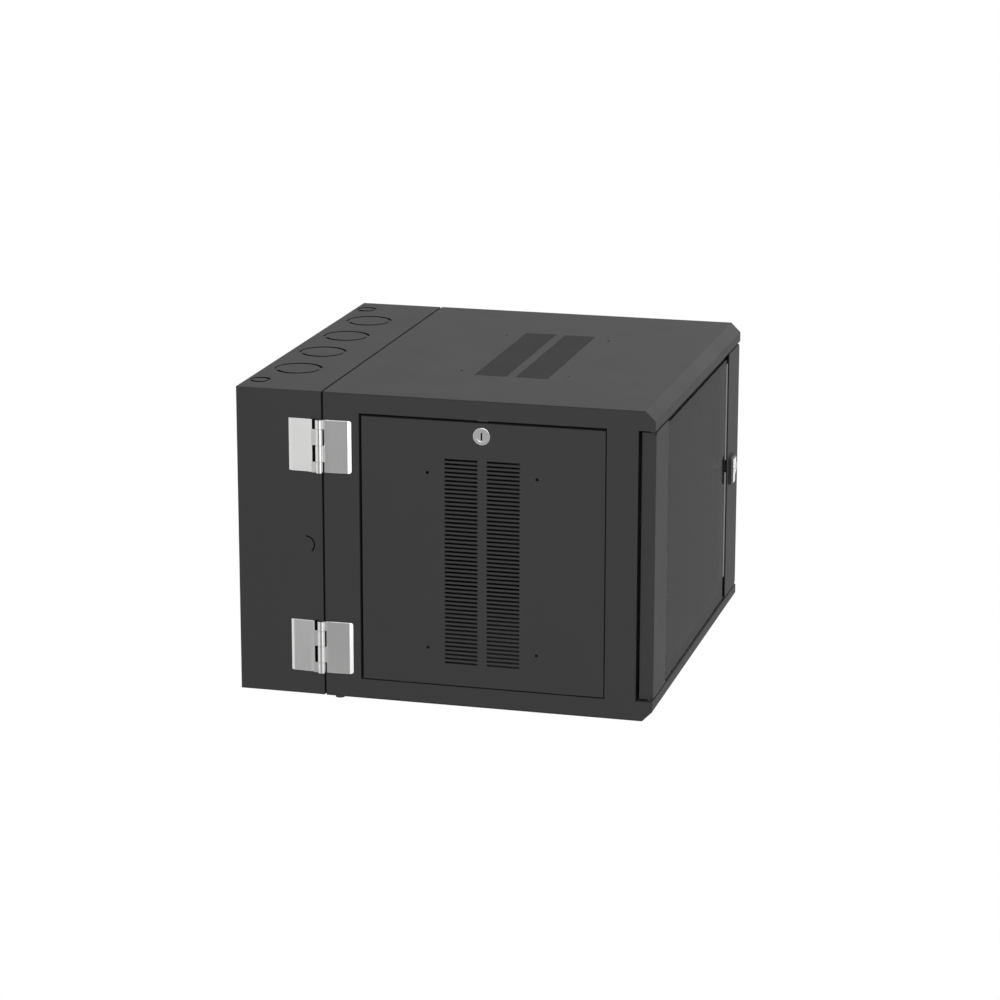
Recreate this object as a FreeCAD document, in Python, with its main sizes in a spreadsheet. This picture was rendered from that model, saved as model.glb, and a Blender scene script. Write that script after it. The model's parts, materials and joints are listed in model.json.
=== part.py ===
"""Wall mount network cabinet, eight rack units high, whose body swings off a rear wall section.

X runs to the right seen from the front, Y towards the wall and Z up. The origin is on the wall, in the middle
of the four wall holes. Every size is in millimetres and comes from the Dims sheet.
"""
import FreeCAD, Part
import math
import os
import Sketcher
from FreeCAD import Placement, Rotation, Vector

doc = FreeCAD.newDocument("NetworkCabinet")
sheet = doc.addObject("Spreadsheet::Sheet", "Dims")
pieces = []


# ---------------------------------------------------------------- sizes that keep their formula

class Size:
    """A length that carries both its number and the sheet formula that gives it."""

    def __init__(self, value, formula):
        self.value = value
        self.formula = formula

    def __add__(self, other):
        return combine(self, "+", other, self.value + as_size(other).value)

    def __radd__(self, other):
        return as_size(other) + self

    def __sub__(self, other):
        return combine(self, "-", other, self.value - as_size(other).value)

    def __rsub__(self, other):
        return as_size(other) - self

    def __mul__(self, factor):
        return Size(self.value * factor, f"({self.formula} * {factor})")

    def __rmul__(self, factor):
        return self * factor

    def __truediv__(self, divisor):
        return Size(self.value / divisor, f"({self.formula} / {divisor})")

    def __neg__(self):
        return self * -1


def as_size(item):
    return item if isinstance(item, Size) else Size(float(item), f"({item})")


def combine(left, sign, right, value):
    return Size(value, f"({as_size(left).formula} {sign} {as_size(right).formula})")


def dimension(alias, value, row=[0]):
    """Put one driving dimension in the sheet and give it back as a Size."""
    row[0] += 1
    sheet.set(f"A{row[0]}", alias)
    sheet.set(f"B{row[0]}", str(value))
    sheet.setAlias(f"B{row[0]}", alias)
    return Size(float(value), f"Dims.{alias}")


# cabinet
width = dimension("width", 600)
height = dimension("height", 434)
depth = dimension("depth", 589)
wall_depth = dimension("wall_depth", 122)
seam = dimension("seam", 3)
steel = dimension("steel", 1.5)
thin = dimension("thin_steel", 1.2)
chamfer = dimension("edge_chamfer", 14)
lip = dimension("edge_lip", 13.5)
jamb = dimension("jamb_setback", 23.5)
frame_bar = dimension("frame_bar", 32)

# wall section
stud_x = dimension("stud_spacing", 406.4)
stud_z = dimension("wall_hole_rise", 330.2)
wall_hole = dimension("wall_hole_radius", 4.5)
cable_x = dimension("cable_opening_width", 300)
cable_z = dimension("cable_opening_height", 160)
slit = dimension("knockout_slit", 2)

# cast hinges
hinge_tall = dimension("hinge_height", 74.4)
hinge_reach = dimension("hinge_reach", 44.8)
wall_leaf_gap = dimension("wall_leaf_gap", 10)
body_leaf_gap = dimension("body_leaf_gap", 7.2)
barrel = dimension("barrel_radius", 5.5)
barrel_out = dimension("barrel_standoff", 5.8)
pin = dimension("hinge_pin_radius", 2.6)
running = dimension("running_clearance", 0.05)

# side panels
opening_front = dimension("side_opening_front", 67)
opening_rear = dimension("side_opening_rear", 413.6)
panel_gap_front = dimension("panel_gap_front", 1.3)
panel_gap_rear = dimension("panel_gap_rear", 3.8)
panel_gap_head = dimension("panel_gap_head", 3.5)
panel_gap_foot = dimension("panel_gap_foot", 1.6)
panel_fold = dimension("panel_fold", 16.6)
vent_y = dimension("vent_centre", 239.5)
vent_z = dimension("vent_centre_rise", -11.5)
slot_long = dimension("slot_length", 46.3)
slot_wide = dimension("slot_width", 3)
slot_pitch = dimension("slot_pitch", 5.87)
slot_gap = dimension("slot_column_gap", 13)
fan_y = dimension("fan_hole_spacing", 154)
fan_long = dimension("fan_hole_rise", 248.6)
fan_hole = dimension("fan_hole_radius", 2.25)
slot_count = 50

# rack
rack_unit = dimension("rack_unit", 44.45)
rack_hole_x = dimension("rack_hole_spacing", 465.1)
rack_square = dimension("rack_square", 9.5)
rack_front = dimension("rack_front", 54)
rack_rear = dimension("rack_rear", 440)
rail_long = dimension("rack_rail_length", 372)
rail_steel = dimension("rack_rail_steel", 2)
unit_count = 8

# door
door_gap = dimension("door_gap", 3)
door_inset = dimension("door_inset", 5)
door_side = dimension("door_side_return", 19.5)
stile = dimension("stile_width", 80)
seal = dimension("glass_seal", 0.8)
glass = dimension("glass_thickness", 4)
glass_drop = dimension("glass_below_door_top", 6)
pivot_in = dimension("door_pivot_inset", 13)
pivot_deep = dimension("door_pivot_depth", 7)
latch_x = dimension("latch_centre", 240.5)
latch_z = dimension("latch_axis_rise", 10)

# key locks
lock_rim = dimension("lock_rim_radius", 12)
lock_shell = dimension("lock_shell_radius", 9.5)
lock_plug = dimension("lock_plug_radius", 7)
panel_lock_z = dimension("panel_lock_rise", 168.4)
swing_lock_y = dimension("swing_lock_setback", 149)
cam_long = dimension("lock_cam_length", 26)
swing_cam_long = dimension("swing_lock_cam_length", 20)
cam_wide = dimension("lock_cam_width", 12)
key_slot_wide = dimension("key_slot_width", 2.2)
key_slot_tall = dimension("key_slot_height", 10.5)

OVER = 1
FIT = 0.05
half_x = width / 2
half_z = height / 2
front = -depth
mitre = steel * math.tan(math.radians(22.5))
body_rear = -(wall_depth + seam)
lip_z = half_z - chamfer - lip
side_front = front + jamb
frame_front = side_front + steel
pivot_x = -half_x + pivot_in
pivot_y = front + pivot_deep
hinge_x = -half_x - barrel_out
hinge_y = -wall_depth + steel
doc.recompute()


# ---------------------------------------------------------------- small helpers

def bind(item, path, size):
    item.setExpression(path, as_size(size).formula)


def box(x, y, z):
    """A block between (low, high) pairs."""
    solid = doc.addObject("Part::Box", "Block")
    for axis, side, (low, high) in zip("xyz", ("Length", "Width", "Height"), (x, y, z)):
        bind(solid, side, as_size(high) - low)
        bind(solid, f"Placement.Base.{axis}", low)
    return solid


AXIS_TURNS = {
    "x": Rotation(Vector(0, 1, 0), 90),
    "y": Rotation(Vector(1, 0, 0), -90),
    "z": Rotation(),
}


def rod(axis, radius, centre, ends, angle=360, start=0):
    """A cylinder along one axis; centre holds the other two coordinates in X, Y, Z order."""
    solid = doc.addObject("Part::Cylinder", "Rod")
    solid.Angle = angle
    spin = Rotation(Vector(0, 0, 1), start)
    solid.Placement = Placement(Vector(), AXIS_TURNS[axis].multiply(spin))
    bind(solid, "Radius", radius)
    bind(solid, "Height", as_size(ends[1]) - ends[0])
    across = [name for name in "xyz" if name != axis]
    bind(solid, f"Placement.Base.{axis}", ends[0])
    for name, place in zip(across, centre):
        bind(solid, f"Placement.Base.{name}", place)
    return solid


def hexagon(axis, radius, centre, ends):
    """A six-sided bar along one axis, for nuts and bolt heads."""
    solid = doc.addObject("Part::Prism", "Hexagon")
    solid.Polygon = 6
    solid.Placement = Placement(Vector(), AXIS_TURNS[axis])
    bind(solid, "Circumradius", radius)
    bind(solid, "Height", as_size(ends[1]) - ends[0])
    across = [name for name in "xyz" if name != axis]
    bind(solid, f"Placement.Base.{axis}", ends[0])
    for name, place in zip(across, centre):
        bind(solid, f"Placement.Base.{name}", place)
    return solid


def fuse(*solids):
    joined = doc.addObject("Part::MultiFuse", "Joined")
    joined.Shapes = solids
    joined.Refine = True
    return joined


def cut(base, *tools):
    trimmed = doc.addObject("Part::Cut", "Trimmed")
    trimmed.Base = base
    trimmed.Tool = tools[0] if len(tools) == 1 else fuse(*tools)
    trimmed.Refine = True
    return trimmed


def mirrored(source, normal=(1, 0, 0)):
    """The same shape reflected in a plane through the origin."""
    twin = doc.addObject("Part::Mirroring", "Twin")
    twin.Source = source
    twin.Normal = Vector(*normal)
    return twin


def group(*solids):
    """Separate solids that share one node, such as a set of screws."""
    together = doc.addObject("Part::Compound", "Set")
    together.Links = solids
    return together


def ring(x, y, z, across, border):
    """A flat rectangular frame, square to the axis named by across, with a border on all four sides."""
    spans = dict(zip("xyz", (x, y, z)))
    hole = {}
    for name, (low, high) in spans.items():
        inset = -1 if name == across else border
        hole[name] = (as_size(low) + inset, as_size(high) - inset)
    return cut(box(x, y, z), box(hole["x"], hole["y"], hole["z"]))


def name_piece(label, solid):
    """Give a finished solid the label of its node and list it for export."""
    solid.Label = label
    pieces.append(solid)
    return solid


# ---------------------------------------------------------------- PartDesign helpers

PLANE_SIGN = {"XY": 1, "YZ": 1, "XZ": -1}


def origin_plane(body, plane):
    return next(item for item in body.Origin.OriginFeatures if item.Role == f"{plane}_Plane")


def fix_point(drawing, geometry, position, point):
    """Hold one sketch point at its two coordinates from the sheet."""
    for kind, place in zip(("DistanceX", "DistanceY"), point):
        place = as_size(place)
        index = drawing.addConstraint(Sketcher.Constraint(kind, -1, 1, geometry, position, place.value))
        drawing.setExpression(f"Constraints[{index}]", place.formula)


def draw(body, plane, level, outlines=(), circles=()):
    """A sketch at one level of an origin plane: closed outlines of points, and (centre, radius) circles."""
    drawing = body.newObject("Sketcher::SketchObject", "Sketch")
    drawing.AttachmentSupport = (origin_plane(body, plane), [""])
    drawing.MapMode = "FlatFace"
    bind(drawing, "AttachmentOffset.Base.z", as_size(level) * PLANE_SIGN[plane])
    for outline in outlines:
        first = drawing.GeometryCount
        corners = [Vector(as_size(across).value, as_size(up).value, 0) for across, up in outline]
        count = len(corners)
        for index, corner in enumerate(corners):
            drawing.addGeometry(Part.LineSegment(corner, corners[(index + 1) % count]), False)
        for index in range(count):
            after = first + (index + 1) % count
            drawing.addConstraint(Sketcher.Constraint("Coincident", first + index, 2, after, 1))
        for index, point in enumerate(outline):
            fix_point(drawing, first + index, 1, point)
    for centre, radius in circles:
        middle = Vector(as_size(centre[0]).value, as_size(centre[1]).value, 0)
        circle = drawing.addGeometry(Part.Circle(middle, Vector(0, 0, 1), as_size(radius).value), False)
        fix_point(drawing, circle, 3, centre)
        index = drawing.addConstraint(Sketcher.Constraint("Radius", circle, as_size(radius).value))
        drawing.setExpression(f"Constraints[{index}]", as_size(radius).formula)
    return drawing


def rectangle(across, up):
    """The four corners between two (low, high) pairs."""
    return [(across[0], up[0]), (across[1], up[0]), (across[1], up[1]), (across[0], up[1])]


def pad(body, plane, ends, outlines=(), circles=()):
    """Add material between two levels of a plane."""
    start = ends[0] if PLANE_SIGN[plane] > 0 else ends[1]
    feature = body.newObject("PartDesign::Pad", "Pad")
    feature.Profile = draw(body, plane, start, outlines, circles)
    bind(feature, "Length", as_size(ends[1]) - ends[0])
    body.Tip = feature
    return feature


def pocket(body, plane, ends, outlines=(), circles=()):
    """Remove material between two levels of a plane."""
    start = ends[1] if PLANE_SIGN[plane] > 0 else ends[0]
    feature = body.newObject("PartDesign::Pocket", "Pocket")
    feature.Profile = draw(body, plane, start, outlines, circles)
    bind(feature, "Length", as_size(ends[1]) - ends[0])
    body.Tip = feature
    return feature


def repeat(body, feature, axis, pitch, count):
    """Repeat a feature in a row along its own sketch's horizontal or vertical axis."""
    pattern = body.newObject("PartDesign::LinearPattern", "Row")
    pattern.Originals = [feature]
    pattern.Direction = (feature.Profile[0], [axis])
    pattern.Mode = "Spacing"
    bind(pattern, "Offset", pitch)
    pattern.Occurrences = count
    body.Tip = pattern
    return pattern


def new_body(label):
    body = doc.addObject("PartDesign::Body", label)
    return name_piece(label, body)


def between(low, high, middle=0):
    """A pair of levels that lie evenly about the middle."""
    return (middle + as_size(low), middle + as_size(high))


def even(span, middle=0):
    """A pair of levels that span a length evenly about the middle."""
    return (middle - as_size(span) / 2, middle + as_size(span) / 2)


def sorted_pair(first, second):
    return (first, second) if first.value < second.value else (second, first)


def side_pair(side, low, high):
    """Levels outside (positive) or inside (negative) one of the cabinet's two sides."""
    return sorted_pair(side * (half_x + low), side * (half_x + high))


# ---------------------------------------------------------------- wall section

def arc_slit(axis, centre, ends, radius, middle, sweep):
    """A curved slot punched through a sheet, spread evenly about the angle middle."""
    outer = rod(axis, radius + slit / 2, centre, ends, sweep, middle - sweep / 2)
    inner = rod(axis, radius - slit / 2, centre, ends)
    return cut(outer, inner)


KNOCKOUT_TURN = 18
LARGE_KNOCKOUT = (32.6, 30.1)
SMALL_KNOCKOUT = (13, 11.6)
SIDE_KNOCKOUT = 12


def knockout(centre, ends, radii):
    """A knockout in the top: a wide arc round one side, a tighter one round the other, and a bridge between."""
    outer_arc = arc_slit("z", centre, ends, radii[0], KNOCKOUT_TURN, 178)
    inner_arc = arc_slit("z", centre, ends, radii[1], KNOCKOUT_TURN + 181, 150)
    return [outer_arc, inner_arc]


def build_wall_frame():
    inside_x = half_x - steel
    inside_z = half_z - steel
    shell = cut(
        box((-half_x, half_x), (-wall_depth, 0), (-half_z, half_z)),
        box((-inside_x, inside_x), (-wall_depth - OVER, OVER), (-inside_z, inside_z)))
    lip_wide = 12
    lip_ring = ring((-inside_x, inside_x), (-wall_depth, -wall_depth + steel), (-inside_z, inside_z), "y", lip_wide)
    top_wall = (inside_z - OVER, half_z + OVER)
    slits = []
    for place in (-170, -56.7, 56.7, 170):
        slits += knockout((place, -47.3), top_wall, LARGE_KNOCKOUT)
    for place in (-252, 252):
        slits += knockout((place, -18.5), top_wall, SMALL_KNOCKOUT)
    for side in (-1, 1):
        slits.append(arc_slit("x", (-98, -1), side_pair(side, -steel - OVER, OVER), SIDE_KNOCKOUT, 248, 140))
    name_piece("wall_frame", cut(fuse(shell, lip_ring), *slits, *hinge_stud_holes(1)))


def build_wall_plate():
    body = new_body("wall_back_plate")
    inside_x = half_x - steel
    inside_z = half_z - steel
    pad(body, "XZ", (-steel, 0), [rectangle((-inside_x, inside_x), (-inside_z, inside_z))])
    rim = 9
    pad(body, "XZ", (-steel - rim, -steel), [rectangle(even(cable_x + 2 * steel), even(cable_z + 2 * steel))])
    pocket(body, "XZ", (-steel - rim - OVER, OVER), [rectangle(even(cable_x), even(cable_z))])
    corners = [(side * stud_x / 2, level * stud_z / 2) for side in (-1, 1) for level in (-1, 1)]
    pocket(body, "XZ", (-steel - OVER, OVER), circles=[(corner, wall_hole) for corner in corners])


# ---------------------------------------------------------------- cast hinges

HINGE_LEVELS = {"upper": 141.4, "lower": -145.6}
BODY_KNUCKLES = ((61.4, 74.4), (15.4, 38.2))
WALL_KNUCKLES = ((0, 15), (38.6, 61))
STUD_LEVELS = (18, 55)
STUD_OUT = 27
STUD_RADIUS = 2.5
STUD_LONG = 10


def hinge_stud_holes(side):
    """Clearance holes for the studs of the two leaves on one side of the seam."""
    wall = side_pair(-1, -steel - OVER, OVER)
    holes = []
    for level in HINGE_LEVELS.values():
        foot = level - hinge_tall / 2
        for rise in STUD_LEVELS:
            holes.append(rod("x", STUD_RADIUS + 0.3, (hinge_y + side * STUD_OUT, foot + rise), wall))
    return holes


def build_hinge_leaf(label, side, level, knuckles):
    """One cast leaf, thickest at its crease: side is 1 behind the seam and -1 in front of it."""
    body = new_body(label)
    foot = level - hinge_tall / 2
    head = foot + hinge_tall
    back = -half_x
    thin_face = back - 4.1
    thick_face = back - 5.2
    edge = hinge_y + side * hinge_reach
    inner = hinge_y + side * (wall_leaf_gap if side > 0 else body_leaf_gap)
    crease = inner + side * 6
    bevel = edge - side * 4.5
    section = [(back, inner), (back, edge), (back - 1.4, edge), (thin_face, bevel), (thick_face, crease),
               (thick_face - 0.5, inner)]
    plate = pad(body, "XY", (foot, head), [section])
    doc.recompute()
    soften = body.newObject("PartDesign::Chamfer", "Bevel")
    soften.Base = (plate, outer_face_edges(plate.Shape, thin_face.value))
    soften.Size = 0.5
    body.Tip = soften
    if side < 0:
        clip = 2.5
        corners = [[(edge - OVER, end), (edge + clip, end), (edge - OVER, end + turn * (clip + OVER))]
                   for end, turn in ((foot, 1), (head, -1))]
        pocket(body, "YZ", (back - 10, back + OVER), corners)
    for low, high in knuckles:
        span = (foot + low, foot + high)
        web = rectangle((hinge_x - 1, back - 0.4), sorted_pair(hinge_y, inner + side * 1))
        pad(body, "XY", span, [web])
        pad(body, "XY", span, circles=[((hinge_x, hinge_y), barrel)])
    pocket(body, "XY", (foot - OVER, head + OVER), circles=[((hinge_x, hinge_y), pin + running)])
    for rise in STUD_LEVELS:
        centre = (hinge_y + side * STUD_OUT, foot + rise)
        pad(body, "YZ", (back - OVER, back + STUD_LONG), circles=[(centre, STUD_RADIUS)])


def outer_face_edges(shape, face_x):
    """The top and bottom edges of a leaf's outer faces, which carry a small bevel."""
    levels = (shape.BoundBox.ZMin, shape.BoundBox.ZMax)
    names = []
    for index, edge in enumerate(shape.Edges, 1):
        middle = edge.CenterOfMass
        flat = any(abs(middle.z - level) < 0.01 for level in levels)
        if flat and abs(middle.x - face_x) < 1.8:
            names.append(f"Edge{index}")
    return names


def build_hinges():
    nuts = {1: [], -1: []}
    for name, level in HINGE_LEVELS.items():
        build_hinge_leaf(f"wall_hinge_leaf_{name}", 1, level, WALL_KNUCKLES)
        build_hinge_leaf(f"body_hinge_leaf_{name}", -1, level, BODY_KNUCKLES)
        ends = even(hinge_tall, level)
        name_piece(f"hinge_pin_{name}", rod("z", pin, (hinge_x, hinge_y), ends))
        for side in (1, -1):
            for rise in STUD_LEVELS:
                nuts[side].append(hex_nut(hinge_y + side * STUD_OUT, ends[0] + rise))
    name_piece("wall_hinge_nuts", group(*nuts[1]))
    name_piece("body_hinge_nuts", group(*nuts[-1]))


def hex_nut(y, z):
    """A nut on a hinge stud, tight against the inside of the sheet."""
    inner_face = -half_x + steel
    tall = 4
    nut = hexagon("x", 4.6, (y, z), (inner_face, inner_face + tall))
    return cut(nut, rod("x", STUD_RADIUS + FIT, (y, z), (inner_face - OVER, inner_face + tall + OVER)))


# ---------------------------------------------------------------- covers and frames of the swinging body

def cover_section(up):
    """The folded section of the top cover, or of the bottom cover when up is -1."""
    outer = half_z
    inner = half_z - steel
    rise = [
        (body_rear, outer), (front + chamfer, outer), (front, outer - chamfer), (front, lip_z),
        (side_front, lip_z), (side_front, lip_z + steel), (front + steel, lip_z + steel),
        (front + steel, outer - chamfer - mitre), (front + chamfer + mitre, inner), (body_rear, inner)]
    return [(y, up * z) for y, z in rise]


def vent_columns(low_edge, centre):
    """The first pair of slots of a two-column vent, as (low, high) pairs across and along the columns."""
    columns = []
    for side in (-1, 1):
        middle = centre + side * (slot_long + slot_gap) / 2
        columns.append((even(slot_long, middle), (low_edge, low_edge + slot_wide)))
    return columns


BUSH_RADIUS = 4.5


def build_covers():
    vent_middle = front + vent_y
    half_run = ((slot_count - 1) * slot_pitch + slot_wide) / 2
    top = new_body("top_cover")
    pad(top, "YZ", (-half_x, half_x), [cover_section(1)])
    sheet_span = (half_z - steel - OVER, half_z + OVER)
    slots = [rectangle(wide, long) for long, wide in vent_columns(-half_run, vent_middle)]
    repeat(top, pocket(top, "XY", sheet_span, slots), "H_Axis", slot_pitch, slot_count)
    fans = [(side * fan_long / 2, vent_middle + end * fan_y / 2) for side in (-1, 1) for end in (-1, 1)]
    pocket(top, "XY", sheet_span, circles=[(place, fan_hole) for place in fans])
    pocket(top, "XY", (lip_z - OVER, lip_z + steel + OVER), circles=[((pivot_x, pivot_y), BUSH_RADIUS + FIT)])
    bottom = new_body("bottom_cover")
    pad(bottom, "YZ", (-half_x, half_x), [cover_section(-1)])
    pocket(bottom, "XY", (-lip_z - steel - OVER, -lip_z + OVER), circles=[((pivot_x, pivot_y), BUSH_RADIUS + FIT)])


LEDGE_IN = 15.5
LEDGE_WIDE = 10
TAB_PLACES = (-110, 110)
TAB_WIDE = 20
TAB_IN = 4


def build_side_frames():
    """A side sheet with the panel opening, whose edges turn in and end in a ledge behind the panel."""
    skin = (-half_x, -half_x + steel)
    inner = half_z - steel
    outline = [
        (body_rear, -inner), (front + chamfer + mitre, -inner), (front + steel, -half_z + chamfer + mitre),
        (front + steel, -lip_z - steel), (side_front, -lip_z - steel), (side_front, lip_z + steel),
        (front + steel, lip_z + steel), (front + steel, half_z - chamfer - mitre),
        (front + chamfer + mitre, inner), (body_rear, inner)]
    opening_y = (front + opening_front, front + opening_rear)
    opening_z = (-lip_z, lip_z)
    left = doc.addObject("PartDesign::Body", "SideSheet")
    pad(left, "YZ", skin, [outline])
    around_y = (opening_y[0] - steel, opening_y[1] + steel)
    around_z = (-lip_z - steel, lip_z + steel)
    ledge_x = -half_x + steel + LEDGE_IN
    pad(left, "YZ", (skin[1], ledge_x + steel), [rectangle(around_y, around_z)])
    ledge_y = (opening_y[0] + LEDGE_WIDE, opening_y[1] - LEDGE_WIDE)
    ledge_z = (opening_z[0] + LEDGE_WIDE, opening_z[1] - LEDGE_WIDE)
    pocket(left, "YZ", (-half_x - OVER, ledge_x), [rectangle(opening_y, opening_z)])
    pocket(left, "YZ", (-half_x - OVER, ledge_x + steel + OVER), [rectangle(ledge_y, ledge_z)])
    middle = (opening_y[0] + opening_y[1]) / 2
    slot_x = (-half_x + TAB_IN - thin, -half_x + TAB_IN + 5)
    slots = [rectangle(slot_x, even(TAB_WIDE + 3, middle + place)) for place in TAB_PLACES]
    pocket(left, "XY", (-lip_z - steel - OVER, -lip_z + OVER), slots)
    right = mirrored(left)
    name_piece("side_frame_left", cut(left, *hinge_stud_holes(-1)))
    swing_hole = rod("x", lock_shell + 2 * FIT, (-swing_lock_y, 0), side_pair(1, -steel - OVER, OVER))
    name_piece("side_frame_right", cut(right, swing_hole))


MOUTH_HALF = 252
STRIKE_X = (266, 286)
SEAL_WIDE = 7
SEAL_FREE = 0.4


def build_end_frames():
    """The flat frames that tie the body together behind the door and at the seam, and the seal in the seam."""
    inner_x = (-half_x + steel, half_x - steel)
    inner_z = (-half_z + steel, half_z - steel)
    sheet = (frame_front, frame_front + steel)
    mouth_z = lip_z - 7
    mouth = box((-MOUTH_HALF, MOUTH_HALF), between(-OVER, steel + OVER, frame_front), (-mouth_z, mouth_z))
    name_piece("front_frame", cut(box(inner_x, sheet, inner_z), mouth))
    rear = ring(inner_x, (body_rear - steel, body_rear), inner_z, "y", frame_bar)
    notch_x = (STRIKE_X[0] - 2, STRIKE_X[1] + 3)
    notch = box(notch_x, (body_rear - steel - OVER, body_rear + OVER), (6, 22))
    name_piece("rear_frame", cut(rear, notch))
    seal_span = (body_rear, -wall_depth - SEAL_FREE)
    name_piece("seam_seal", ring(inner_x, seal_span, inner_z, "y", SEAL_WIDE))


# ---------------------------------------------------------------- rack rails

RAIL_NEAR = 7
RAIL_WIDE = 19.5
BOLT_OUT = 9
BOLT_BACK = 18
BOLT_HOLE = 3.3
UNIT_HOLES = (6.35, 22.225, 38.1)


def build_rack_rail(label, y_face, inward, side):
    """An angle rail with three square holes in each rack unit; inward is 1 when its side leg runs to the rear."""
    body = doc.addObject("PartDesign::Body", "RackRail")
    near = rack_hole_x / 2 - RAIL_NEAR
    far = near + RAIL_WIDE
    leg = 34
    run = (y_face, y_face + inward * leg)
    skin = (y_face, y_face + inward * rail_steel)
    angle = [(near, run[0]), (far, run[0]), (far, run[1]), (far - rail_steel, run[1]),
             (far - rail_steel, skin[1]), (near, skin[1])]
    pad(body, "XY", even(rail_long), [angle])
    foot_y = sorted_pair(y_face + inward * 4, y_face + inward * 32)
    for end in (-1, 1):
        level = sorted_pair(end * rail_long / 2, end * (rail_long / 2 - rail_steel))
        pad(body, "XY", level, [rectangle((far - rail_steel, far + 2 * BOLT_OUT), foot_y)])
    bolt = (far + BOLT_OUT, y_face + inward * BOLT_BACK)
    pocket(body, "XY", even(rail_long + 2 * OVER), circles=[(bolt, BOLT_HOLE)])
    first = -rack_unit * unit_count / 2
    squares = [rectangle(even(rack_square, rack_hole_x / 2), even(rack_square, first + rise)) for rise in UNIT_HOLES]
    through = sorted_pair(y_face - inward * OVER, y_face + inward * (rail_steel + OVER))
    punched = pocket(body, "XZ", through, squares)
    repeat(body, punched, "V_Axis", rack_unit, unit_count)
    name_piece(label, body if side > 0 else mirrored(body))
    return bolt


def build_rack():
    bolts = []
    for end, y_face, inward in (("front", front + rack_front, 1), ("rear", front + rack_rear, -1)):
        for name, side in (("left", -1), ("right", 1)):
            bolt = build_rack_rail(f"rack_rail_{end}_{name}", y_face, inward, side)
            bolts += [rail_bolt(side * bolt[0], bolt[1], up) for up in (-1, 1)]
    name_piece("rail_bolts", group(*bolts))
    run = (frame_front + steel, body_rear - steel)
    for up, level in ((1, "upper"), (-1, "lower")):
        for side, name in ((-1, "left"), (1, "right")):
            name_piece(f"depth_rail_{level}_{name}", depth_channel(side, up, run))


CHANNEL_X = (245, 265)
CHANNEL_TALL = 16
BOLT_STEP = 24
BOLT_SLOT = (2 * BOLT_HOLE, 14)


def depth_channel(side, up, run):
    """A channel from the front frame to the rear frame, slotted so that the rack rails can be set back."""
    foot = rail_long / 2
    x_span = sorted((side * CHANNEL_X[0], side * CHANNEL_X[1]))
    z_span = sorted_pair(up * foot, up * (foot + CHANNEL_TALL))
    hollow_x = (x_span[0] + steel, x_span[1] - steel)
    hollow_z = sorted_pair(up * (foot + steel), up * (foot + CHANNEL_TALL + OVER))
    channel = cut(box(x_span, run, z_span), box(hollow_x, (run[0] - OVER, run[1] + OVER), hollow_z))
    bolt_x = side * (rack_hole_x / 2 - RAIL_NEAR + RAIL_WIDE + BOLT_OUT)
    floor = sorted_pair(up * (foot - OVER), up * (foot + steel + OVER))
    slots = []
    for y_face, inward in ((front + rack_front, 1), (front + rack_rear, -1)):
        for step in (-1, 0, 1, 2):
            middle = y_face + inward * (BOLT_BACK + step * BOLT_STEP)
            slots.append(box(even(BOLT_SLOT[0], bolt_x), even(BOLT_SLOT[1], middle), floor))
    return cut(channel, *slots)


def rail_bolt(x, y, up):
    """A bolt through a rail's foot and the channel, with its nut inside the channel."""
    foot = rail_long / 2
    across = 5.7
    head = hexagon("z", across, (x, y), sorted_pair(up * (foot - rail_steel - 4), up * (foot - rail_steel)))
    shank = rod("z", 2.95, (x, y), sorted_pair(up * (foot - rail_steel - OVER), up * (foot + steel + OVER)))
    nut = hexagon("z", across, (x, y), sorted_pair(up * (foot + steel), up * (foot + steel + 5)))
    return fuse(head, shank, nut)


# ---------------------------------------------------------------- key locks in the side sheets

RIM_PROUD = 2.5
PLUG_PROUD = 2.8
CAM_THICK = 2.5
CAM_FREE = 0.7
LOCK_NUT = 13.5
LOCK_NUT_TALL = 4


def lock_housing(side, y, z, reach):
    """The flanged barrel of a key lock through a side sheet, bored for its plug."""
    rim = rod("x", lock_rim, (y, z), side_pair(side, 0, RIM_PROUD))
    shell = rod("x", lock_shell, (y, z), side_pair(side, -reach, OVER))
    bore = rod("x", lock_plug + running, (y, z), side_pair(side, -reach - OVER, RIM_PROUD + OVER))
    return cut(fuse(rim, shell), bore)


def lock_nut(side, y, z, skin):
    """The hexagonal nut that clamps a lock barrel to a sheet of thickness skin."""
    nut = hexagon("x", LOCK_NUT, (y, z), side_pair(side, -skin - LOCK_NUT_TALL, -skin))
    return cut(nut, rod("x", lock_shell + FIT, (y, z), side_pair(side, -skin - LOCK_NUT_TALL - OVER, 0)))


def lock_key_plug(side, y, z, reach):
    """The turning plug with its key slot."""
    plug = rod("x", lock_plug, (y, z), side_pair(side, -reach - CAM_THICK - 1, PLUG_PROUD))
    key_slot = box(side_pair(side, -3, PLUG_PROUD + OVER), even(key_slot_wide, y), even(key_slot_tall, z))
    return cut(plug, key_slot)


def lock_cam(side, y, z, reach, long):
    """The flat tongue on the plug's inner end, which points along Y at rest."""
    span = side_pair(side, -reach - CAM_FREE - CAM_THICK, -reach - CAM_FREE)
    blade = box(span, (y, y + long), even(cam_wide, z))
    hub = rod("x", lock_plug + 2, (y, z), span)
    return cut(fuse(blade, hub), rod("x", lock_plug, (y, z), side_pair(side, -reach - 2 * CAM_THICK, 0)))


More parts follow.
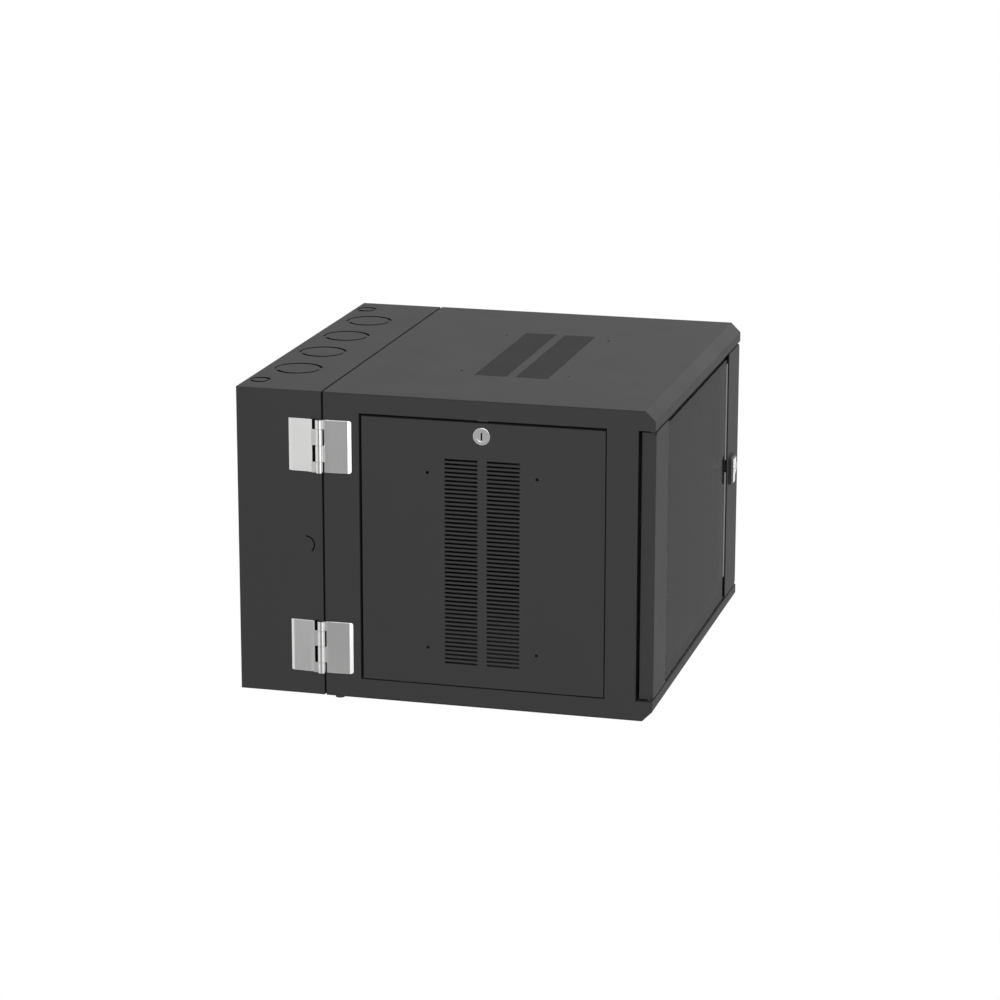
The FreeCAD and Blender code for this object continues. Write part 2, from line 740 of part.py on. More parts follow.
def build_side_panels():
    opening_y = (front + opening_front, front + opening_rear)
    panel_y = (opening_y[0] + panel_gap_front, opening_y[1] - panel_gap_rear)
    panel_z = (-lip_z + panel_gap_foot, lip_z - panel_gap_head)
    middle = (opening_y[0] + opening_y[1]) / 2
    vent_middle = front + vent_y
    half_run = ((slot_count - 1) * slot_pitch + slot_wide) / 2
    left = doc.addObject("PartDesign::Body", "SidePanel")
    pad(left, "YZ", (-half_x, -half_x + panel_fold), [rectangle(panel_y, panel_z)])
    inner_y = (panel_y[0] + thin, panel_y[1] - thin)
    inner_z = (panel_z[0] + thin, panel_z[1] - thin)
    pocket(left, "YZ", (-half_x + thin, -half_x + panel_fold + OVER), [rectangle(inner_y, inner_z)])
    tab_z = (-lip_z - 8, panel_z[0] + thin / 2)
    tabs = [rectangle(even(TAB_WIDE, middle + place), tab_z) for place in TAB_PLACES]
    pad(left, "YZ", (-half_x + TAB_IN, -half_x + TAB_IN + thin), tabs)
    skin = (-half_x - OVER, -half_x + thin + OVER)
    slots = [rectangle(long, wide) for long, wide in vent_columns(vent_z - half_run, vent_middle)]
    repeat(left, pocket(left, "YZ", skin, slots), "V_Axis", slot_pitch, slot_count)
    fans = [((vent_middle + end * fan_y / 2, vent_z + up * fan_long / 2), fan_hole)
            for end in (-1, 1) for up in (-1, 1)]
    lock_place = ((vent_middle, panel_lock_z), lock_shell + 2 * FIT)
    pocket(left, "YZ", skin, circles=fans + [lock_place])
    right = mirrored(left)
    reach = 18.5
    for side, name, panel in ((-1, "left", left), (1, "right", right)):
        name_piece(f"side_panel_{name}", panel)
        name_piece(f"panel_lock_housing_{name}", lock_housing(side, vent_middle, panel_lock_z, reach))
        name_piece(f"panel_lock_nut_{name}", lock_nut(side, vent_middle, panel_lock_z, thin))
        name_piece(f"panel_lock_plug_{name}", lock_key_plug(side, vent_middle, panel_lock_z, reach))
        name_piece(f"panel_lock_cam_{name}", lock_cam(side, vent_middle, panel_lock_z, reach, cam_long))
        name_piece(f"panel_keeper_{name}", panel_keeper(side, vent_middle))


def panel_keeper(side, y):
    """The plated clip under the head of a side opening, behind which the lock's cam turns."""
    return box(side_pair(side, -LEDGE_IN - steel, -4), even(14, y), (lip_z - 1, lip_z))


def build_swing_lock():
    reach = 17
    name_piece("swing_lock_housing", lock_housing(1, -swing_lock_y, 0, reach))
    name_piece("swing_lock_nut", lock_nut(1, -swing_lock_y, 0, steel))
    name_piece("swing_lock_plug", lock_key_plug(1, -swing_lock_y, 0, reach))
    name_piece("swing_lock_cam", lock_cam(1, -swing_lock_y, 0, reach, swing_cam_long))
    plate_z = (13, 15)
    root_y = (-112, -60)
    tongue = box(STRIKE_X, (-165, root_y[1]), plate_z)
    window = box((274.5, 283.5), (-157, -128), between(-OVER, OVER + 2, plate_z[0]))
    foot = box((STRIKE_X[1], half_x - steel), root_y, plate_z)
    upright = box(side_pair(1, -steel - 2, -steel), root_y, (-12, plate_z[1]))
    name_piece("swing_strike", cut(fuse(tongue, foot, upright), window))


# ---------------------------------------------------------------- front door

PANE_LAP = 9
PANE_FREE = 0.5
DOOR_PIN = 3
PIN_DEEP = 10
DOOR_RAIL_TALL = 14


def build_door():
    edge = half_x - door_inset
    tall = (-lip_z + door_gap, lip_z - door_gap)
    stile_in = edge - stile
    pane_x = stile_in + PANE_LAP
    pane_y = (front + steel + seal, front + steel + seal + glass)
    pane_z = (tall[0], tall[1] - glass_drop)
    build_stiles(edge, stile_in, tall)
    gasket_x = (stile_in + 1, pane_x)
    strip = box(gasket_x, (front + steel, pane_y[0]), pane_z)
    name_piece("glass_gasket", group(strip, mirrored(strip)))
    name_piece("door_glass", box((-pane_x, pane_x), pane_y, pane_z))
    for up, word, name in ((1, "upper", "top"), (-1, "lower", "bottom")):
        name_piece(f"door_rail_{name}", door_rail(up, edge - steel, pane_x + PANE_FREE, pane_y[1], tall[1]))
        pin_span = sorted_pair(up * (tall[1] - PIN_DEEP), up * (lip_z + 5))
        name_piece(f"door_pin_{word}", rod("z", DOOR_PIN, (pivot_x, pivot_y), pin_span))
        name_piece(f"door_bush_{word}", door_bush(up))
    build_latch()


def build_stiles(edge, stile_in, tall):
    """The two folded uprights of the door, with a bend relief at each outer corner."""
    left = doc.addObject("PartDesign::Body", "Stile")
    section = [
        (-stile_in, front), (-edge, front), (-edge, front + door_side), (-edge + steel, front + door_side),
        (-edge + steel, front + steel), (-stile_in, front + steel)]
    pad(left, "XY", tall, [section])
    relief = 3.5
    notch = rectangle((-edge - OVER, -edge + relief), (front - OVER, front + relief))
    for up in (-1, 1):
        pocket(left, "XY", sorted_pair(up * tall[1], up * (tall[1] - 2.5)), [notch])
    latch_hole = rod("y", lock_shell + 2 * FIT, (latch_x, latch_z), (front - OVER, front + steel + OVER))
    name_piece("door_stile_left", left)
    name_piece("door_stile_right", cut(mirrored(left), latch_hole))


def door_rail(up, reach, clear_x, clear_y, head):
    """A bar that joins the stiles behind the pane's end, with a step for the pane and a bore for the pivot pin."""
    level = sorted_pair(up * head, up * (head - DOOR_RAIL_TALL))
    bar = box((-reach, reach), (front + steel, front + door_side - steel), level)
    step = box((-clear_x, clear_x), (front, clear_y), (level[0] - OVER, level[1] + OVER))
    bore = rod("z", DOOR_PIN + FIT, (pivot_x, pivot_y), sorted_pair(up * (head - PIN_DEEP), up * (head + OVER)))
    return cut(bar, step, bore)


def door_bush(up):
    """The flanged nylon bush that a door pin turns in."""
    flange = rod("z", BUSH_RADIUS + 1.7, (pivot_x, pivot_y), sorted_pair(up * (lip_z - 1), up * lip_z))
    sleeve = rod("z", BUSH_RADIUS, (pivot_x, pivot_y), sorted_pair(up * (lip_z - 0.5), up * (lip_z + 6)))
    bore = rod("z", DOOR_PIN + running, (pivot_x, pivot_y), sorted_pair(up * (lip_z - 2), up * (lip_z + 7)))
    return cut(fuse(flange, sleeve), bore)


LATCH_PROUD = 4.6
LEVER_THICK = 1.8
SPINDLE = 6.5
LATCH_PLUG = 5


def build_latch():
    """The lever latch on the free stile: a dark base, a bright lever with its key plug, and a cam behind."""
    centre = (latch_x, latch_z)
    base = box(even(33, latch_x), (front - LATCH_PROUD, front), even(41, latch_z - 3.5))
    rounded = doc.addObject("Part::Fillet", "Base")
    rounded.Base = base
    corner = 2.5
    rounded.Edges = [(index, corner, corner) for index, edge in enumerate(edges_of(base), 1) if along_y(edge)]
    shell_end = front + 15
    shell = rod("y", lock_shell, centre, (front - OVER, shell_end))
    bore = rod("y", SPINDLE + running, centre, (front - LATCH_PROUD - OVER, shell_end + OVER))
    name_piece("latch_housing", cut(fuse(rounded, shell), bore))
    nut = hexagon("y", LOCK_NUT, centre, (front + steel, front + steel + LOCK_NUT_TALL))
    name_piece("latch_nut", cut(nut, rod("y", lock_shell + FIT, centre, (front, shell_end))))
    spindle_end = shell_end + 4
    build_latch_lever(centre, spindle_end)
    cam_y = between(0.6, 0.6 + CAM_THICK, frame_front + steel)
    blade = box(even(14, latch_x), cam_y, between(-42, 0, latch_z))
    hub = rod("y", 10, centre, cam_y)
    stem = rod("y", LATCH_PLUG, centre, (spindle_end, cam_y[1]))
    name_piece("latch_cam", fuse(blade, hub, stem))


def build_latch_lever(centre, spindle_end):
    """The flat lever on its spindle, narrower below the boss, and the key plug in the boss."""
    back = front - LATCH_PROUD - 0.2
    face = back - LEVER_THICK
    outline = [(latch_x + across, latch_z + up) for across, up in
               ((-12, -22), (2.5, -22), (2.5, -13), (9.5, -8), (9.5, 14), (-12, 14))]
    lever = doc.addObject("PartDesign::Body", "Lever")
    pad(lever, "XZ", (face, back), [outline])
    boss = rod("y", lock_shell, centre, (face - 0.7, back))
    spindle = rod("y", SPINDLE, centre, (back - OVER, spindle_end))
    key_bore = rod("y", LATCH_PLUG + running, centre, (face - 2 * OVER, front + 10))
    name_piece("latch_handle", cut(fuse(lever, boss, spindle), key_bore))
    plug = rod("y", LATCH_PLUG, centre, (face - 1, front + 9.5))
    key_slot = box(even(1.6, latch_x), (face - 2, face + 1.2), even(7, latch_z))
    name_piece("latch_plug", cut(plug, key_slot))


def edges_of(item):
    doc.recompute()
    return item.Shape.Edges


def along_y(edge):
    ends = [vertex.Point for vertex in edge.Vertexes]
    return abs(ends[0].y - ends[1].y) > 1


def build_glides():
    """Two low feet under the rear of the body, on which it slides when it stands on a bench."""
    low = 3.2
    feet = [rod("z", 6.5, (side * (half_x - 8), -142.5), (-half_z - low, -half_z)) for side in (-1, 1)]
    name_piece("underside_glides", group(*feet))


# ---------------------------------------------------------------- build, check and write

def check_document():
    """Stop if any feature failed or any piece is missing, broken or badly named."""
    for item in doc.Objects:
        if "Invalid" in item.State or "Error" in item.State:
            raise RuntimeError(f"{item.Name} failed: {item.State}")
    labels = [piece.Label for piece in pieces]
    if len(set(labels)) != len(labels):
        raise RuntimeError("two pieces share a label")
    for piece in pieces:
        if piece.Shape.isNull() or not piece.Shape.isValid():
            raise RuntimeError(f"{piece.Label} has no valid shape")


def write_pieces():
    os.makedirs("parts", exist_ok=True)
    for piece in pieces:
        piece.Shape.exportStep(f"parts/{piece.Label}.step")
        print(f"{piece.Label:28s} solids {len(piece.Shape.Solids):3d}  volume {piece.Shape.Volume / 1000:9.2f} cm3")
    print(len(pieces), "pieces")


build_wall_frame()
build_wall_plate()
build_hinges()
build_covers()
build_side_frames()
build_end_frames()
build_rack()
build_side_panels()
build_swing_lock()
build_door()
build_glides()
doc.recompute()
check_document()
write_pieces()
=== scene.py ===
# %% [markdown]
# # A wall mount network cabinet
# The cabinet is folded steel sheet with a powder coat: a shallow wall section, a deep body that swings off
# it on two cast hinges, a smoked-glass door, and side panels that a key lock holds. Its construction comes
# from the imported model, so this lesson dresses it: softened folds, finishes, painted shadow in slits and
# recesses, and studio light.

# %% Load the imported model
import json
import math

import bmesh
import bpy
from mathutils import Euler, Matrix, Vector


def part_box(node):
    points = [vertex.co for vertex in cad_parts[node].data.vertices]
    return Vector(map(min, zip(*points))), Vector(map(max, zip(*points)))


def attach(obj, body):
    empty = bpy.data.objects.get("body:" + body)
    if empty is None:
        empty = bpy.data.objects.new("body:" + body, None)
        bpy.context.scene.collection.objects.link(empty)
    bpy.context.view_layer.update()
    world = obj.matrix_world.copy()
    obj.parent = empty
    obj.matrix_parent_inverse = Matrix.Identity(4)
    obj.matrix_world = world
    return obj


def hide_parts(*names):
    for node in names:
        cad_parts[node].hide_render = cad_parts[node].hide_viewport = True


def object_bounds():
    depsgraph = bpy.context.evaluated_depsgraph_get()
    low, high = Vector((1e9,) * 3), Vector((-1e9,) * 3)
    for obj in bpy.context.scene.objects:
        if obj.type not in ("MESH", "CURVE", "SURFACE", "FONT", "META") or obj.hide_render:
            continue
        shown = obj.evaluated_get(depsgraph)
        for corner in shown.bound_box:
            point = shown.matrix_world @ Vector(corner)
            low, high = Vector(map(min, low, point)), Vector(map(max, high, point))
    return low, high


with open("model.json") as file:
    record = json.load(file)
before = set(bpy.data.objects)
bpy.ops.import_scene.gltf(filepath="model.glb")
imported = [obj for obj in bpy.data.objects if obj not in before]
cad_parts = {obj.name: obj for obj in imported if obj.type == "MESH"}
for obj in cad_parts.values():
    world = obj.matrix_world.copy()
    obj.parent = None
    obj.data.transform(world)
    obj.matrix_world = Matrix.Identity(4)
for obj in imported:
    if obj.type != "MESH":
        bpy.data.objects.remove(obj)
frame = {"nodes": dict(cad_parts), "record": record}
cad_low, cad_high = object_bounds()
bodies = frame["record"]["behaviour"]["bodies"]
body_of_node = {node: body for body, nodes in bodies.items() for node in nodes}
print("model box", tuple(cad_low), tuple(cad_high), len(body_of_node), "nodes")

MM = 0.001


# %% [markdown]
# ## Shader maths as plain expressions
# A material is a small program. Writing its sums as Python expressions keeps it readable, so one class
# wraps an output socket and turns `+`, `-` and `*` into Math nodes. Every other node comes from one method,
# which sets the node's own options first and then fills or links its sockets.

# %% A socket that can be added and multiplied
class Wire:
    """An output socket, with arithmetic that builds Math nodes."""

    def __init__(self, build, socket):
        self.build = build
        self.socket = socket

    def __add__(self, other):
        return self.build.maths("ADD", self, other)

    def __radd__(self, other):
        return self.build.maths("ADD", other, self)

    def __sub__(self, other):
        return self.build.maths("SUBTRACT", self, other)

    def __rsub__(self, other):
        return self.build.maths("SUBTRACT", other, self)

    def __mul__(self, other):
        return self.build.maths("MULTIPLY", self, other)

    def __rmul__(self, other):
        return self.build.maths("MULTIPLY", other, self)

    def output(self, name):
        return Wire(self.build, self.socket.node.outputs[name])


class Build:
    """The node tree of one material or of the world."""

    def __init__(self, owner):
        owner.use_nodes = True
        self.tree = owner.node_tree
        self.tree.nodes.clear()

    def node(self, kind, settings=None, values=None):
        """Make a node, set its options, fill its inputs, and give back its first output."""
        made = self.tree.nodes.new(kind)
        for name, value in (settings or {}).items():
            setattr(made, name, value)
        for name, value in (values or {}).items():
            self.fill(made.inputs[name], value)
        return Wire(self, made.outputs[0]) if made.outputs else None

    def fill(self, socket, value):
        if isinstance(value, Wire):
            self.tree.links.new(value.socket, socket)
        else:
            socket.default_value = value

    def maths(self, operation, *values):
        return self.node("ShaderNodeMath", {"operation": operation}, dict(enumerate(values)))

    def ramp(self, factor, low, high):
        """Map a factor linearly from low..high to 0..1, held inside that span."""
        return self.node("ShaderNodeMapRange", {"clamp": True},
                         {"Value": factor, "From Min": low, "From Max": high})

    def mix(self, factor, first, second):
        """Blend two colours."""
        made = self.tree.nodes.new("ShaderNodeMix")
        made.data_type = "RGBA"
        self.fill(made.inputs[0], factor)
        self.fill(made.inputs[6], first)
        self.fill(made.inputs[7], second)
        return Wire(self, made.outputs[2])

    def noise(self, scale, detail=3.0, stretch=(1, 1, 1), offset=(0, 0, 0)):
        """Noise on object coordinates, with scale in waves per metre."""
        place = self.node("ShaderNodeTexCoord").output("Object")
        moved = self.node(
            "ShaderNodeMapping", None, {"Vector": place, "Scale": stretch, "Location": offset})
        return self.node(
            "ShaderNodeTexNoise", None, {"Vector": moved, "Scale": scale, "Detail": detail})

    def bump(self, height, strength, distance):
        return self.node(
            "ShaderNodeBump", None, {"Height": height, "Strength": strength, "Distance": distance})

    def blend(self, factor, first, second):
        """Blend two shaders."""
        return self.node("ShaderNodeMixShader", None, {0: factor, 1: first, 2: second})

    def principled(self, **sockets):
        """A Principled shader; keyword names use _ for the spaces in the socket names."""
        values = {name.replace("_", " "): value for name, value in sockets.items()}
        return self.node("ShaderNodeBsdfPrincipled", None, values)

    def show(self, shader, kind="Material"):
        self.node(f"ShaderNodeOutput{kind}", None, {"Surface": shader})


def new_material(name):
    material = bpy.data.materials.new(name)
    return material, Build(material)


def grey(level, warmth=0.0):
    return (level * (1 + warmth), level, level * (1 - warmth), 1)


# %% [markdown]
# ## The powder coat
# Powder coat is sprayed as dry paint and baked. It flows out to a satin skin with a very fine orange peel,
# and it is slightly thicker and smoother on flat sheet than on folds. A broad, faint change of tone keeps
# the large panels from looking like flat paper, and a fine bump gives the sheen its grain.

# %% Painted steel
def coat(build, level, roughness):
    """The powder coat's shader, with its grey level and its roughness."""
    broad = build.noise(3.0, 2.0)
    grain = build.noise(900.0, 2.0)
    tone = build.mix(broad, grey(level * 0.96), grey(level * 1.04))
    sheen = build.noise(14.0, 3.0, offset=(3, 5, 7))
    return build.principled(
        Base_Color=tone,
        Roughness=roughness - 0.04 + 0.08 * sheen,
        Specular_IOR_Level=0.14,
        Normal=build.bump(grain, 0.08, 0.2 * MM))


def powder_coat(name, level, roughness):
    material, build = new_material(name)
    build.show(coat(build, level, roughness))
    return material


cabinet_paint = powder_coat("cabinet_powder_coat", 0.052, 0.6)
rail_paint = powder_coat("rail_powder_coat", 0.045, 0.6)


# %% [markdown]
# ## Painted shade round a knockout
# A knockout is sheared along an arc and its disc is pushed a little out of the sheet. The step keeps light
# away, so a line of painted shade, a black matt shader mixed over the coat, follows the slit. The painted
# line is wider at the left and the right of the ring. Two tests give it: how near a point is to the circle,
# and whether it lies on the arc's side of the centre. The large rings repeat along the sheet, so X is
# wrapped at their pitch.

# %% Where the knockouts are, in millimetres and degrees
LARGE_X, LARGE_Y, LARGE_RADII = (-170, -56.7, 56.7, 170), -47.3, (32.6, 30.1)
SMALL_X, SMALL_Y, SMALL_RADII = (-252, 252), -18.5, (13, 11.6)
SIDE_X, SIDE_Y, SIDE_Z, SIDE_RADIUS = (-300, 300), -98, -1, 12
OUTER_ARC, INNER_ARC, SIDE_ARC = (18, 178), (199, 150), (248, 140)  # the middle of each arc and its sweep
LARGE_PITCH = 2 * LARGE_X[2] * MM
print(len(LARGE_X), "large,", len(SMALL_X), "small and", len(SIDE_X), "side knockouts")


# %% Paint the coat with arcs of painted shade
def painted_shade_arc(build, across, along, radius, arc):
    """The mask of painted shade: 1 on the sheared arc of one ring and 0 away from it."""
    turn, half_sweep = math.radians(arc[0]), math.radians(arc[1] / 2)
    reach = build.maths("SQRT", across * across + along * along)
    off = build.maths("ABSOLUTE", reach - radius)
    half = 0.9 * MM + (2.2 * MM / radius) * build.maths("ABSOLUTE", across)
    line = build.ramp(off - half, 0.2 * MM, -0.2 * MM)
    inside = across * math.cos(turn) + along * math.sin(turn) - reach * math.cos(half_sweep)
    return line * build.ramp(inside, -0.3 * MM, 0.3 * MM)


def painted_shade_ring(build, across, along, radii):
    """The painted shade on the outer and the inner arc of one knockout."""
    outer = painted_shade_arc(build, across, along, radii[0] * MM, OUTER_ARC)
    return outer + painted_shade_arc(build, across, along, radii[1] * MM, INNER_ARC)


def knockout_shade_coat(name, level, roughness):
    """The powder coat with a line of painted shade round each knockout of the upper skin."""
    material, build = new_material(name)
    place = build.node("ShaderNodeTexCoord").output("Object")
    x = build.node("ShaderNodeSeparateXYZ", None, {"Vector": place})
    y, z = x.output("Y"), x.output("Z")
    wrapped = build.maths("WRAP", x, LARGE_PITCH, 0.0) - LARGE_PITCH / 2
    row_end = 2 * LARGE_PITCH
    in_row = build.ramp(build.maths("ABSOLUTE", x), row_end, row_end - 1 * MM)
    large = painted_shade_ring(build, wrapped, y - LARGE_Y * MM, LARGE_RADII) * in_row
    from_end = x - build.maths("SIGN", x) * (SMALL_X[1] * MM)
    small = painted_shade_ring(build, from_end, y - SMALL_Y * MM, SMALL_RADII)
    skin = build.ramp(z, cad_high.z - 1.0 * MM, cad_high.z - 0.6 * MM)
    # painted shade: a black matt shader that the mask mixes over the coat
    shade = build.node("ShaderNodeBsdfDiffuse", None, {"Color": grey(0.006)})
    dark = build.ramp((large + small) * skin, 0.0, 1.0)
    build.show(build.blend(dark, coat(build, level, roughness), shade))
    return material


knockout_shade_paint = knockout_shade_coat("powder_coat_with_painted_knockout_shade", 0.052, 0.6)


# %% [markdown]
# ## Plated metal
# The hinges are zinc castings with a satin nickel plate, the locks are satin chrome, and the inner nuts,
# cams and strikes are bright zinc. All three are metals, so their colour lies in what they reflect, and the
# finish lies in the roughness: a cast leaf is linished up and down, so its grain is stretched along Z.

# %% Castings, locks and zinc
def plated(name, level, roughness, grain_scale, stretch, warmth=0.0):
    """A plated metal: its grey level, its roughness, and how fine and how stretched its grain is."""
    depth = 0.04 * MM
    material, build = new_material(name)
    grain = build.noise(grain_scale, 3.0, stretch)
    cloud = build.noise(25.0, 2.0)
    tone = build.mix(cloud, grey(level * 0.95, warmth), grey(level * 1.04, warmth))
    build.show(build.principled(
        Base_Color=tone,
        Metallic=1.0,
        Roughness=roughness - 0.03 + 0.06 * grain,
        Normal=build.bump(grain, 0.2, depth)))
    return material


cast_hinge = plated("satin_nickel_casting", 0.7, 0.2, 400.0, (1, 1, 0.08), 0.004)
lock_chrome = plated("satin_chrome", 0.78, 0.2, 900.0, (1, 1, 1))
zinc_plate = plated("bright_zinc", 0.55, 0.32, 300.0, (1, 1, 1), -0.01)


# %% [markdown]
# ## Smoked glass, rubber and plastic
# The pane is four millimetres of tinted glass: it bends what is seen through it sideways, takes most of the
# light away, and gives a clear reflection that grows towards a grazing view. A tinted Refraction shader
# does the first two, a little dark Diffuse stands for the haze on the face, and Fresnel mixes in the
# reflection. Refraction would keep the lamps out of the cabinet, so a shadow ray meets a plain tinted
# Transparent shader in its place.

# %% The pane
def smoked_glass():
    material, build = new_material("smoked_glass")
    tint = (0.7, 0.69, 0.7, 1)
    cloud = build.noise(6.0, 2.0)
    bent = build.node(
        "ShaderNodeBsdfRefraction", None, {"Color": tint, "Roughness": 0.0, "IOR": 1.5})
    haze = build.node("ShaderNodeBsdfDiffuse", None, {"Color": (0.05, 0.049, 0.05, 1)})
    body = build.blend(0.3 + 0.02 * cloud, bent, haze)
    gloss = build.node("ShaderNodeBsdfGlossy", None, {"Color": (1, 1, 1, 1), "Roughness": 0.03})
    edge = build.node("ShaderNodeFresnel", None, {"IOR": 1.2})
    face = build.blend(0.27 * edge, body, gloss)
    passing = build.node("ShaderNodeBsdfTransparent", None, {"Color": tint})
    shadow = build.node("ShaderNodeLightPath").output("Is Shadow Ray")
    build.show(build.blend(shadow, face, passing))
    return material


# %% Rubber, plastic and plain shadow
def moulded(name, level, roughness, grain_scale, shine=0.5):
    """A moulded black: its grey level, its roughness, how fine its grain is, and how much it shines."""
    material, build = new_material(name)
    grain = build.noise(grain_scale, 2.0)
    tone = build.mix(grain, grey(level * 0.9), grey(level * 1.1))
    build.show(build.principled(
        Base_Color=tone,
        Roughness=roughness,
        Specular_IOR_Level=shine,
        Normal=build.bump(grain, 0.15, 0.1 * MM)))
    return material


pane_glass = smoked_glass()
# black rubber, set darker and less shiny than rubber is: partly painted shade for the gaps it fills
gasket_rubber = moulded("black_gasket_and_painted_shade", 0.006, 0.9, 1200.0, 0.05)
slit_shadow = moulded("slit_shadow", 0.005, 0.9, 1200.0, 0.0)
black_plastic = moulded("black_nylon", 0.022, 0.5, 1500.0)

# %% Every part gets its finish
finish_of_slot = {
    "cabinet_paint": cabinet_paint, "rail_paint": rail_paint, "cast_hinge": cast_hinge,
    "zinc_plate": zinc_plate, "lock_chrome": lock_chrome, "smoked_pane": pane_glass,
    "gasket_rubber": gasket_rubber, "black_plastic": black_plastic}
slot_of_node = {part["node"]: part["material_slot"] for part in frame["record"]["subparts"]}
for node, item in frame["nodes"].items():
    finish = finish_of_slot[slot_of_node[node]]
    if not item.material_slots:
        item.data.materials.append(finish)
    for place in item.material_slots:
        place.material = finish
print("finishes", sorted(set(slot_of_node.values())))


# %% [markdown]
# ## Folds that catch the light
# Sheet steel folds round a tool with a small radius, and a casting never has a knife edge. That radius is
# what shows as a thin bright line along each edge. A copy of the construction mesh is merged, its flat
# faces are joined up again, and a bevel is cut on the long outer edges, so that the hundreds of small slots
# stay plain. The body's cut edges at the seam are sheared, not folded, so they stay sharp.

# %% Soften the edges of a part
def flat_copy(node):
    """A merged copy of a node's mesh, as a bmesh whose flat faces are whole again."""
    work = bmesh.new()
    work.from_mesh(frame["nodes"][node].data)
    bmesh.ops.remove_doubles(work, verts=work.verts, dist=0.002 * MM)
    bmesh.ops.dissolve_limit(work, angle_limit=math.radians(1), verts=work.verts, edges=work.edges)
    return work


def add_piece(name, work, body, finish):
    """Keep a bmesh as a finished piece that rides a body."""
    mesh = bpy.data.meshes.new(name)
    work.to_mesh(mesh)
    work.free()
    mesh.materials.append(finish)
    piece = bpy.data.objects.new(name, mesh)
    bpy.context.scene.collection.objects.link(piece)
    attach(piece, body)
    return piece


seam_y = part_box("top_cover")[1].y


def is_fold(edge, width, shortest, along, on_body):
    """Whether an edge is a long outer fold that runs along one of the named axes."""
    if not edge.is_manifold or edge.calc_length() < shortest:
        return False
    first, second = edge.verts[0].co, edge.verts[1].co
    run = second - first
    axis = max("xyz", key=lambda name: abs(getattr(run, name)))
    sheared = on_body and min(first.y, second.y) > seam_y - width
    return axis in along and not sheared and edge.is_convex and edge.calc_face_angle() > math.radians(20)


def soften(node, width, shortest, along="xyz", segments=3):
    """Replace a node by the same shape with a radius on its folds."""
    work = flat_copy(node)
    on_body = body_of_node[node] != "wall_section"
    folds = [edge for edge in work.edges if is_fold(edge, width, shortest, along, on_body)]
    bmesh.ops.bevel(work, geom=folds, offset=width, segments=segments, profile=0.5,
                    affect="EDGES", clamp_overlap=True)
    for face in work.faces:
        face.smooth = True
    for edge in work.edges:
        edge.smooth = edge.is_manifold and edge.calc_face_angle() < math.radians(35)
    slot = slot_of_node[node]
    piece = add_piece(f"{node}_dressed", work, body_of_node[node], finish_of_slot[slot])
    piece.modifiers.new("Even shading", "WEIGHTED_NORMAL").keep_sharp = True
    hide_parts(node)
    return piece


# %% Which parts are softened
sheet_folds = {
    "wall_frame": "y",
    "top_cover": "x", "bottom_cover": "x",
    "side_frame_left": "yz", "side_frame_right": "yz",
    "side_panel_left": "yz", "side_panel_right": "yz",
    "door_stile_left": "z", "door_stile_right": "z"}
for node, along in sheet_folds.items():
    soften(node, 0.9 * MM, shortest=55 * MM, along=along)
# the wall frame's coat carries the painted shade round its knockouts
for place in bpy.data.objects["wall_frame_dressed"].material_slots:
    place.material = knockout_shade_paint

castings = [node for node in slot_of_node if node.startswith(("wall_hinge_leaf", "body_hinge_leaf"))]
for node in castings:
    soften(node, 0.5 * MM, shortest=8 * MM)
latch = ("latch_housing", "latch_handle")
for node in latch:
    soften(node, 0.4 * MM, shortest=8 * MM)
lock_rims = ("panel_lock_housing_left", "panel_lock_housing_right", "swing_lock_housing")
for node in lock_rims:
    soften(node, 0.6 * MM, shortest=0.3 * MM, segments=2)
print("softened", len(sheet_folds) + len(castings) + len(latch) + len(lock_rims), "parts")


# %% [markdown]
# ## The dark line of a knockout
# A knockout is sheared almost through and held by two bridges, so its slit is a shadow with steel close
# behind it. A black ribbon laid just under the skin gives that shadow. Slits of one size repeat along the
# sheet, so one Geometry Nodes tree bends an arc, sweeps a flat section along it, and sets a copy on every
# centre.

# %% A tree for arcs on centres
def slit_shadow_tree(finish):
    """A node tree that puts the same flat arc on each point it is given."""
    tree = bpy.data.node_groups.new("knockout_slit_shadows", "GeometryNodeTree")
    face = tree.interface
    face.new_socket("Centres", in_out="INPUT", socket_type="NodeSocketGeometry")
    for label in ("Radius", "Width", "Thickness", "Start", "Sweep"):
        face.new_socket(label, in_out="INPUT", socket_type="NodeSocketFloat")
    face.new_socket("Turn", in_out="INPUT", socket_type="NodeSocketVector")
    face.new_socket("Slits", in_out="OUTPUT", socket_type="NodeSocketGeometry")

    def add(kind, **inputs):
        made = tree.nodes.new(kind)
        for label, value in inputs.items():
            socket = made.inputs[label.replace("_", " ")]
            if isinstance(value, bpy.types.NodeSocket):
                tree.links.new(value, socket)
            else:
                socket.default_value = value
        return made.outputs[0]

    given = tree.nodes.new("NodeGroupInput").outputs
    arc = add("GeometryNodeCurveArc", Resolution=28, Radius=given["Radius"],
              Start_Angle=given["Start"], Sweep_Angle=given["Sweep"])
    section = add("GeometryNodeCurvePrimitiveQuadrilateral",
                  Width=given["Width"], Height=given["Thickness"])
    ribbon = add("GeometryNodeCurveToMesh", Curve=arc, Profile_Curve=section, Fill_Caps=True)
    turned = add("GeometryNodeTransform", Geometry=ribbon, Rotation=given["Turn"])
    copies = add("GeometryNodeInstanceOnPoints", Points=given["Centres"], Instance=turned)
    whole = add("GeometryNodeRealizeInstances", Geometry=copies)
    dressed = add("GeometryNodeSetMaterial", Geometry=whole, Material=finish)
    result = tree.nodes.new("NodeGroupOutput")
    tree.links.new(dressed, result.inputs["Slits"])
    return tree


